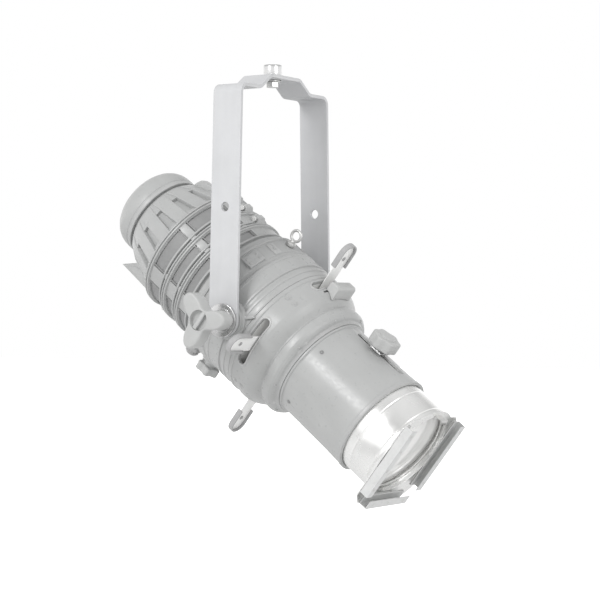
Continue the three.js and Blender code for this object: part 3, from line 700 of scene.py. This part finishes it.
for sg in (-1, 1):  # trunnion bosses with a turned step
    lathe(bm, fillet([(6.8, sg * 104.5), (30, sg * 104.5), (28.5, sg * 111), (25.5, sg * 112.5), (25.5, sg * 118), (6.8, sg * 118)], 0.9, 3), 72, True, "x")
    for k in range(4):
        c = bmesh.new()
        box_in(c, sg * 105, sg * 111, -2.2, 2.2, 24, 44, 0.8, 2, M=Matrix.Rotation(math.radians(45 + 90 * k), 4, "X"))
        absorb(bm, c)
lathe(bm, fillet([(4.5, -104.5), (18.5, -104.5), (17, -112), (17, -118), (4.5, -118)], 0.9, 3), 48, True, "u", (0, -48))
prism(bm, [(-52, 105.8), (-52, 112.5), (-31, 112.5), (-31, 105.8)], -14, 14, "su", 1.2, 3, M=spin(42))
for dx, ds in ((-9, -46), (9, -46), (-9, -37), (9, -37)):
    screw(bm, (dx, 112.2, ds), (0, 1, 0), 2.4, 1.4, M=spin(42))
for deg in (75, 20, -20, -50, -130, 130, 160, -160):
    c = bmesh.new()
    box_in(c, -7, 7, 106, 109.6, -54, -31, 0.8, 2)
    screw(c, (0, 109.4, -42), (0, 1, 0), 2.8, 1.5)
    absorb(bm, about(c, deg))
finish("pivot_housing_bosses", bm, HEAD, "head", "body_paint")
for nm in ("friction_disc_near", "friction_disc_far", "pivot_washer", "pivot_bolt"):
    refine(nm, bevel=0.4)

# gland plate and plugged gland, below
refine("gland_plate", bevel=1.2, seg=3)
bm = bmesh.new()
hexa = circle(12.6, 6, 0, -88)
prism(bm, hexa, -126, -119, "xs", 0.7, 2)
lathe(bm, fillet([(0, -134), (7.5, -134), (10, -131), (10, -125.5), (0, -125.5)], 0.8, 3, closed=False), 48, False, "u", (0, -88))
lathe(bm, [(0, -126), (8, -126), (8, -113), (0, -113)], 40, False, "u", (0, -88))
for k in range(16):
    a = 2 * math.pi * k / 16
    c = bmesh.new()
    box_in(c, -0.7, 0.7, -131, -126, 9.6, 10.7, 0.25, 2, M=Matrix.Rotation(a, 4, "Y"))
    c.transform(Matrix.Translation((0, 0, -88)))
    absorb(bm, c)
finish("cable_gland_moulded", bm, HEAD, "head", "grip_rubber", ["cable_gland"])

# turning lock below
bm = bmesh.new()
pts = [((16.5 + 2.5 * math.cos(5 * a)) * math.cos(a), -48 + (16.5 + 2.5 * math.cos(5 * a)) * math.sin(a)) for a in (2 * math.pi * k / 90 for k in range(90))]
prism(bm, pts, -138.5, -124.5, "xs", 2.4, 4, angle=50)
lathe(bm, fillet([(4.5, -125.5), (11, -125.5), (10, -123), (10, -120.5), (4.5, -120.5)], 0.6, 3), 48, True, "u", (0, -48))
lathe(bm, fillet([(0, -140), (8, -140), (9.5, -138), (0, -138)], 0.7, 3, closed=False), 48, False, "u", (0, -48))
finish("lock_knob_moulded", bm, HEAD, "turn_lock", "knob_plastic", ["lock_knob"])
refine("lock_screw", bevel=0.3)

# safety eye
bm = bmesh.new()
ring_pts = 48
for i in range(ring_pts):
    pass
R0, R1 = 8.5, 2.2
verts = []
for i in range(ring_pts):
    a = 2 * math.pi * i / ring_pts
    row = []
    for j in range(16):
        b_ = 2 * math.pi * j / 16
        rr = R0 + R1 * math.cos(b_)
        row.append(bm.verts.new((R1 * math.sin(b_), 127 + rr * math.cos(a), -43 + rr * math.sin(a))))
    verts.append(row)
for i in range(ring_pts):
    for j in range(16):
        bm.faces.new([verts[i][j], verts[(i + 1) % ring_pts][j], verts[(i + 1) % ring_pts][(j + 1) % 16], verts[i][(j + 1) % 16]])
lathe(bm, fillet([(0, 109.2), (7.6, 109.2), (7, 115.5), (3.6, 117), (2.6, 119.5), (0, 119.5)], 0.7, 3, closed=False), 40, False, "u", (0, -43))
prism(bm, circle(8.2, 6, 0, -43), 110.5, 114, "xs", 0.5, 2)
finish("safety_eye_forged", bm, HEAD, "head", "fixings_steel", ["safety_eye"])

# =====================================================================
# turning gate
# =====================================================================
prof = [(104, 30), (109.4, 30), (110, 31), (110, 36.4), (108.5, 37.6), (108.5, 60), (108.1, 64.5), (106.4, 69.5), (103.4, 74.8), (99.6, 79.6), (95.6, 83.4), (93.2, 86), (93, 88.6), (94.6, 89.4), (96, 91), (96, 100.5), (95.2, 103.4), (92.8, 106.6),
        (90, 109), (86.6, 110.6), (84.8, 113), (84.5, 115), (79, 115), (79, 92), (97, 70), (104, 60)]
bm = bmesh.new()
lathe(bm, fillet(prof, 0.5, 2), 144, True)
gate = finish("gate_housing_cast", bm, HEAD, "gate", "body_paint", ["gate_housing"])


def racetrack(half, w, s0, n=12):
    return [(half - w + w * math.cos(math.radians(-90 + 180 * k / n)), s0 + w * math.sin(math.radians(-90 + 180 * k / n))) for k in range(n + 1)] + \
           [(-half + w + w * math.cos(math.radians(90 + 180 * k / n)), s0 + w * math.sin(math.radians(90 + 180 * k / n))) for k in range(n + 1)]


cut = bmesh.new()
for deg in (0, 90, 180, -90):
    c = bmesh.new()
    prism(c, racetrack(40, 7, 49.4), 60, 130, "xs", 0)
    absorb(cut, about(c, -deg))
prism(cut, [(-31, 62), (31, 62), (31, 65.4), (-31, 65.4)], 90, 120, "xs", 0)
carve(gate, cut, HEAD)
bm = bmesh.new()
for deg in (0, 90, 180, -90):
    # raised rim round each shutter slot, following the round of the housing
    c = bmesh.new()
    o_, i_ = racetrack(43.4, 9.6, 49.4, 10), racetrack(40.6, 7.4, 49.4, 10)

    def lift(p, h):
        return (p[0], math.sqrt(max(1, (108.5 + h) ** 2 - p[0] ** 2)), p[1])

    def dense_loop(pts, per=6):
        res = []
        for k in range(len(pts)):
            a, b = Vector(pts[k]), Vector(pts[(k + 1) % len(pts)])
            kk = max(1, int((b - a).length / per))
            for t in range(kk):
                res.append(tuple(a + (b - a) * t / kk))
        return res
    o_, i_ = dense_loop(o_), dense_loop(i_)
    rows = [[c.verts.new(lift(p, h)) for p in pts] for pts, h in ((o_, -1.5), (o_, 0.6), ([tuple(Vector(a) * 0.72 + Vector(b) * 0.28) for a, b in zip(o_, i_)], 1.3),
                                                                ([tuple(Vector(a) * 0.28 + Vector(b) * 0.72) for a, b in zip(o_, i_)], 1.3), (i_, 0.6), (i_, -3.2))]
    L = len(o_)
    for a, b in zip(rows, rows[1:]):
        for k in range(L):
            c.faces.new([a[k], a[(k + 1) % L], b[(k + 1) % L], b[k]])
    absorb(bm, about(c, -deg))
for deg in (45, 135, 225, 315):
    for ds in (44, 58):
        c = bmesh.new()
        lathe(c, fillet([(0, 106), (4.6, 106), (4.2, 109.4), (0, 109.4)], 0.5, 2, closed=False), 24, False, "u", (0, ds))
        screw(c, (0, 109.3, ds), (0, 1, 0), 2.7, 1.3)
        absorb(bm, about(c, deg))
for k in range(8):  # fixings round the flange
    a = math.radians(22.5 + 45 * k)
    screw(bm, (90.6 * math.sin(a), 90.6 * math.cos(a), 108.4), (math.sin(a) * 0.6, math.cos(a) * 0.6, 1), 2.3, 1.4)
finish("gate_housing_trim", bm, HEAD, "gate", "body_paint")
bm = bmesh.new()
lathe(bm, fillet([(98.5, -58), (102.8, -58), (102.8, 38.5), (98.5, 38.5)], 0.6, 2), 96, True)
lathe(bm, fillet([(101, 22), (103.6, 22), (103.6, 27), (101, 27)], 0.6, 2), 96, True)
finish("turning_sleeve_rolled", bm, HEAD, "gate", "shutter_steel", ["turning_sleeve"])
for nm, r0, s0 in (("gate_plate_rear", 36, 39.5), ("gate_plate_front", 38, 57.5)):
    bm = bmesh.new()
    lathe(bm, fillet([(r0, s0), (r0 + 1.4, s0 - 0.0), (103.2, s0), (103.2, s0 + 2), (r0, s0 + 2)], 0.3, 2), 96, True)
    for k in range(4):
        a = math.radians(45 + 90 * k)
        screw(bm, (70 * math.cos(a), 70 * math.sin(a), s0 + 1.9), (0, 0, 1), 3.2, 1.6)
    finish(nm + "_pressed", bm, HEAD, "gate", "shutter_steel", [nm])

# pattern slot cover: pale block with ribs for the thumb
cover = refine("pattern_slot_cover", bevel=1.6, seg=4)
bm = bmesh.new()
for k in range(5):
    box_in(bm, -17, 17, 120.8, 122.0, 64.6 + k * 2.2, 65.6 + k * 2.2, 0.35, 2)
for sg in (-1, 1):
    screw(bm, (sg * 21, 119.6, 64.2), (0, 1, 0), 1.6, 1.8)
finish("pattern_slot_cover_grip", bm, HEAD, "slot_cover", "cover_plastic")

# =====================================================================
# shutters: steel blade, drilled handle, moulded rim
# =====================================================================
SH = {"top": (0, 44.6, 0), "near": (90, 54.2, 8.5), "bottom": (180, 47.8, 0), "far": (-90, 51.0, 8.5)}
for nm, (deg, s, drop) in SH.items():
    tip = [(12.4 * math.cos(math.pi * k / 24), 161.3 + 12.4 * math.sin(math.pi * k / 24)) for k in range(25)]
    blade = fillet([(42, 8), (42, 55), (36, 60), (13, 60), (13, 131), (12.4, 134)], 2.0, 4, closed=False)
    plate = blade + tip + [(-x, y) for x, y in blade[::-1]]
    bm = bmesh.new()
    prism(bm, plate, s - 0.6, s + 0.6, "xu", 0.25, 2, angle=60)
    M = spin(deg) @ Matrix.Translation((0, -drop, 0))
    o = finish(f"shutter_{nm}_blade_pressed", bm, HEAD @ M, f"shutter_{nm}", "shutter_steel", [f"shutter_blade_{nm}"])
    cut = bmesh.new()
    lathe(cut, [(0, s - 3), (2.7, s - 3), (2.7, s + 3), (0, s + 3)], 28, False, "s", (0, 151))
    carve(o, cut, HEAD @ M)
    bm = bmesh.new()
    # dark eyelet in the handle's hole, and the moulded rim
    lathe(bm, fillet([(1.5, s - 1.3), (3.6, s - 1.3), (3.6, s - 0.7), (2.6, s - 0.62), (2.6, s + 0.62), (3.6, s + 0.7), (3.6, s + 1.3), (1.5, s + 1.3)], 0.2, 1), 28, True, "s", (0, 151))
    N = 28
    out_c = [(15.8, 137.4)] + [(15.8 * math.cos(math.pi * k / N), 161.3 + 15.8 * math.sin(math.pi * k / N)) for k in range(N + 1)] + [(-15.8, 137.4)]
    in_c = [(-12.75, 137.4)] + [(12.75 * math.cos(math.pi * k / N), 161.3 + 12.75 * math.sin(math.pi * k / N)) for k in range(N, -1, -1)] + [(12.75, 137.4)]
    end1 = [(-15.3, 136.2), (-14.3, 135.9), (-13.3, 136.2)]
    end2 = [(13.3, 136.2), (14.3, 135.9), (15.3, 136.2)]
    prism(bm, out_c + end1 + in_c + end2, s - 4.6, s + 4.4, "xu", 1.1, 3, angle=60)
    finish(f"shutter_{nm}_rim_moulded", bm, HEAD @ M, f"shutter_{nm}", "grip_rubber", [f"shutter_grip_{nm}"])

# =====================================================================
# barrel
# =====================================================================
R0, R1, BI, BF = 80.4, 82.2, 78.0, 249.0
prof = [(BI, 115.3), (83, 115.3), (83, 118.6), (81, 119.6), (R0, 121)]
prof += [(R0 + 0.45 * (k + 1) / 2, 121 + 30.5 * (k + 1)) for k in range(3)]
prof += [(R1 - 0.2, 238), (R1 - 0.1, 242.6), (83.0, 243.2), (83.0, 248.4), (82.4, BF), (BI, BF)]
bm = bmesh.new()
lathe(bm, fillet(prof, 0.4, 2), 144, True)
barrel = finish("barrel_rolled", bm, HEAD, "gate", "body_paint", ["barrel"])
cut = bmesh.new()
slot_pts = [(5 * math.sin(math.radians(q)), 176 + 48 + 5 * math.cos(math.radians(q))) for q in range(90, -91, -15)] + [(5 * math.sin(math.radians(q)), 176 - 38 + 5 * math.cos(math.radians(q))) for q in range(-90, -271, -15)]
prism(cut, slot_pts, 60, 100, "xs", 0)
carve(barrel, cut, HEAD)
bm = bmesh.new()
for deg in (-55, 55, -125, 125):
    c = bmesh.new()
    screw(c, (0, 80.5, 133), (0, 1, 0), 3.0, 1.6)
    absorb(bm, about(c, deg))
finish("barrel_screws", bm, HEAD, "gate", "fixings_steel", mat=DARK)
bm = bmesh.new()
# folded seam along the barrel's underside
box_in(bm, -4, 4, -82.4, -80.9, 122, 242, 0.6, 2)
finish("barrel_seam", bm, HEAD, "gate", "body_paint")

# =====================================================================
# lens tube, lenses and rings
# =====================================================================
TR, TI, TB, TF = 77.3, 74.5, 135.0, 308.5
prof = [(TI, TB), (TR - 0.6, TB), (TR, TB + 1), (TR, 262), (TR - 0.7, 263), (TR - 0.7, 264.4), (TR, 265.4), (TR, 299.6), (TR - 0.8, 300.6), (TR - 0.8, 302), (TR, 303), (TR, TF), (TI, TF)]
bm = bmesh.new()
lathe(bm, fillet(prof, 0.35, 2), 144, True)
tube = finish("lens_tube_drawn", bm, HEAD, "lens_carrier", "tube_aluminium", ["lens_tube"])
cut = bmesh.new()
lathe(cut, [(0, 60), (4.3, 60), (4.3, 90), (0, 90)], 28, False, "u", (0, 176))
carve(tube, cut, HEAD)
for nm, s, bulge in (("front_lens", 292, (1, 9)), ("rear_lens", 205, (9, 1))):
    R = 73.9
    p = [(0, s - 2.5 - bulge[0])] + [(R * k / 14, s - 2.5 - bulge[0] * (1 - (k / 14) ** 2)) for k in range(1, 15)]
    p += [(R * k / 14, s + 2.5 + bulge[1] * (1 - (k / 14) ** 2)) for k in range(14, 0, -1)] + [(0, s + 2.5 + bulge[1])]
    bm = bmesh.new()
    lathe(bm, p, 96, False)
    finish(nm + "_ground", bm, HEAD, "lens_carrier", "optic_glass", [nm])
bm = bmesh.new()
lathe(bm, fillet([(66, 303), (74.1, 303), (74.1, 295.3), (72, 295.3), (70.5, 299), (66, 300.5)], 0.5, 2), 96, True)
for k in range(3):
    a = math.radians(30 + 120 * k)
    screw(bm, (70 * math.sin(a), 70 * math.cos(a), 302.9), (0, 0, 1), 2.0, 1.2)
finish("front_lens_ring_turned", bm, HEAD, "lens_carrier", "tube_aluminium", ["front_lens_ring"], mat=MAT["tube_aluminium"])
bm = bmesh.new()
lathe(bm, fillet([(69.5, 208.2), (74.1, 208.2), (74.1, 213), (69.5, 213)], 0.5, 2), 96, True)
finish("rear_lens_ring_turned", bm, HEAD, "lens_carrier", "body_paint", ["rear_lens_ring"])

# colour-frame holder
PL0 = TF + 0.3
PL1 = PL0 + 2
FH = 77.0
bm = bmesh.new()
c_ = 17
sq = [(-FH, -FH - 11 + c_), (-FH + c_, -FH - 11), (FH - c_, -FH - 11), (FH, -FH - 11 + c_), (FH, 58 - c_ * 0.3), (FH - c_, 66), (-FH + c_, 66), (-FH, 58 - c_ * 0.3)]
# outline of the plate: the square joined to the round
outline = []
for k in range(240):
    a = 2 * math.pi * k / 240
    dx, dy = math.cos(a), math.sin(a)
    best = 79.5
    for i in range(len(sq)):
        p, q = Vector(sq[i]), Vector(sq[(i + 1) % len(sq)])
        d = q - p
        den = dx * d.y - dy * d.x
        if abs(den) < 1e-9:
            continue
        t = (p.x * d.y - p.y * d.x) / den
        w = (p.x * dy - p.y * dx) / den
        if t > 0 and 0 <= w <= 1:
            best = max(best, t)
    outline.append((best * dx, best * dy))
v = {}
for key, pts, s in (("o0", outline, PL0), ("o1", outline, PL1), ("i0", circle(69, 240), PL0), ("i1", circle(69, 240), PL1)):
    v[key] = [bm.verts.new((x, y, s)) for x, y in pts]
for a, b in (("o0", "o1"), ("o1", "i1"), ("i1", "i0"), ("i0", "o0")):
    for k in range(240):
        bm.faces.new([v[a][k], v[a][(k + 1) % 240], v[b][(k + 1) % 240], v[b][k]])
finish("frame_plate_pressed", bm, HEAD, "lens_carrier", "tube_aluminium", ["frame_plate"], bevel=0.3)
for nm in ("frame_channel_near", "frame_channel_far", "frame_channel_bottom"):
    refine(nm, mat=HOLDER, bevel=0.45, seg=2)
bm = bmesh.new()
Z0 = PL1 + 0.3
for sg in (-1, 1):
    for u in (-50, -15, 20, 48):
        screw(bm, (sg * (FH - 7), u, Z0 + 14), (0, 0, 1), 2.0, 0.9, slot=False)
for x in (-42, 0, 42):
    screw(bm, (x, -FH - 4, Z0 + 14), (0, 0, 1), 2.0, 0.9, slot=False)
# spring clip at the open top of the holder
prism(bm, [(PL1 + 0.2, 66.5), (PL1 + 1.0, 66.5), (PL1 + 1.0, 71.0), (PL1 + 12.6, 72.2), (PL1 + 13.6, 69.4), (PL1 + 14.3, 69.6), (PL1 + 13.2, 73.0), (PL1 + 0.2, 71.8)], -9, 9, "su", 0.2, 1)
finish("frame_holder_rivets", bm, HEAD, "lens_carrier", "fixings_steel")

# focus lock
bm = bmesh.new()
pts = [((21.3 + 1.5 * math.cos(6 * a)) * math.cos(a), 176 + (21.3 + 1.5 * math.cos(6 * a)) * math.sin(a)) for a in (2 * math.pi * k / 108 for k in range(108))]
prism(bm, pts, 90, 108, "xs", 2.2, 4, angle=50)
lathe(bm, fillet([(4.4, 85.5), (10, 85.5), (12, 90.5), (4.4, 90.5)], 0.7, 3), 48, True, "u", (0, 176))
lathe(bm, fillet([(0, 107.5), (13, 107.5), (12, 109.4), (0, 109.4)], 0.6, 3, closed=False), 48, False, "u", (0, 176))
finish("focus_knob_moulded", bm, HEAD, "focus_lock", "knob_plastic", ["focus_knob"])
refine("focus_washer", bevel=0.5)
refine("focus_stud", bevel=0.3)

# every CAD node that still shows gets its slot's material
for n_, o in NODES.items():
    if not o.hide_render:
        o.data.materials.clear()
        o.data.materials.append(MAT[SLOT_OF[n_]])

# =====================================================================
# floor and light
# =====================================================================
bm = bmesh.new()
bmesh.ops.create_grid(bm, x_segments=8, y_segments=8, size=40)
me = bpy.data.meshes.new("floor")
bm.to_mesh(me)
bm.free()
floor = bpy.data.objects.new("floor", me)
floor.location = (0, 0, -1.7)
bpy.context.scene.collection.objects.link(floor)
fm, nt, b = new_material("floor")
b.inputs["Base Color"].default_value = (0.92, 0.92, 0.92, 1)
b.inputs["Roughness"].default_value = 0.9
b.inputs["Emission Color"].default_value = (1, 1, 1, 1)
b.inputs["Emission Strength"].default_value = 0.28
out = [n for n in nt.nodes if n.type == "OUTPUT_MATERIAL"][0]
tr = node(nt, "ShaderNodeBsdfTransparent")
mx = node(nt, "ShaderNodeMixShader")
geo = node(nt, "ShaderNodeNewGeometry")
nt.links.new(geo.outputs["Backfacing"], mx.inputs[0])
nt.links.new(b.outputs[0], mx.inputs[1])
nt.links.new(tr.outputs[0], mx.inputs[2])
nt.links.new(mx.outputs[0], out.inputs[0])
seen = node(nt, "ShaderNodeLightPath")
glow = node(nt, "ShaderNodeMath", operation="MULTIPLY")
nt.links.new(seen.outputs["Is Camera Ray"], glow.inputs[0])
glow.inputs[1].default_value = 1.0
nt.links.new(glow.outputs[0], b.inputs["Emission Strength"])
tone = node(nt, "ShaderNodeTexNoise")
tone.inputs["Scale"].default_value = 2.0
nt.links.new(mix(nt, spread(nt, tone.outputs[0], 0.0, 1.0), (0.88, 0.88, 0.88), (0.93, 0.93, 0.93)), b.inputs["Base Color"])
me.materials.append(fm)

# white backdrop; the reflections see a softer room, bright at the horizon and grey above and below
world = bpy.data.worlds.new("world")
bpy.context.scene.world = world
world.use_nodes = True
nt = world.node_tree
bg = nt.nodes["Background"]
tc = node(nt, "ShaderNodeTexCoord")
sep = node(nt, "ShaderNodeSeparateXYZ")
nt.links.new(tc.outputs["Generated"], sep.inputs[0])
height = node(nt, "ShaderNodeMapRange")
height.inputs["From Min"].default_value, height.inputs["From Max"].default_value = -1.0, 1.0
nt.links.new(sep.outputs[2], height.inputs["Value"])
sky = ramp(nt, height.outputs[0], [(0.0, 0.35), (0.30, 0.42), (0.50, 0.95), (0.62, 0.85), (0.80, 0.42), (1.0, 0.62)])
lp = node(nt, "ShaderNodeLightPath")
nt.links.new(mix(nt, lp.outputs["Is Camera Ray"], sky, (1.0, 1.0, 1.0)), bg.inputs[0])
lift_by = node(nt, "ShaderNodeMath", operation="MULTIPLY_ADD")
nt.links.new(lp.outputs["Is Camera Ray"], lift_by.inputs[0])
lift_by.inputs[1].default_value, lift_by.inputs[2].default_value = -0.42, 1.42
nt.links.new(lift_by.outputs[0], bg.inputs[1])


def area(name, pos, target, size, power):
    d = bpy.data.lights.new(name, "AREA")
    d.shape, d.size, d.energy = "SQUARE", size, power
    o = bpy.data.objects.new(name, d)
    o.location = pos
    o.rotation_mode = "QUATERNION"
    o.rotation_quaternion = (Vector(target) - Vector(pos)).to_track_quat("-Z", "Y")
    bpy.context.scene.collection.objects.link(o)
    return o


area("key", (-2.6, 0.35, 1.2), (0, -0.1, -0.45), 0.8, 34)
area("fill", (-0.6, -3.0, 0.6), (0, 0, -0.4), 1.6, 14)
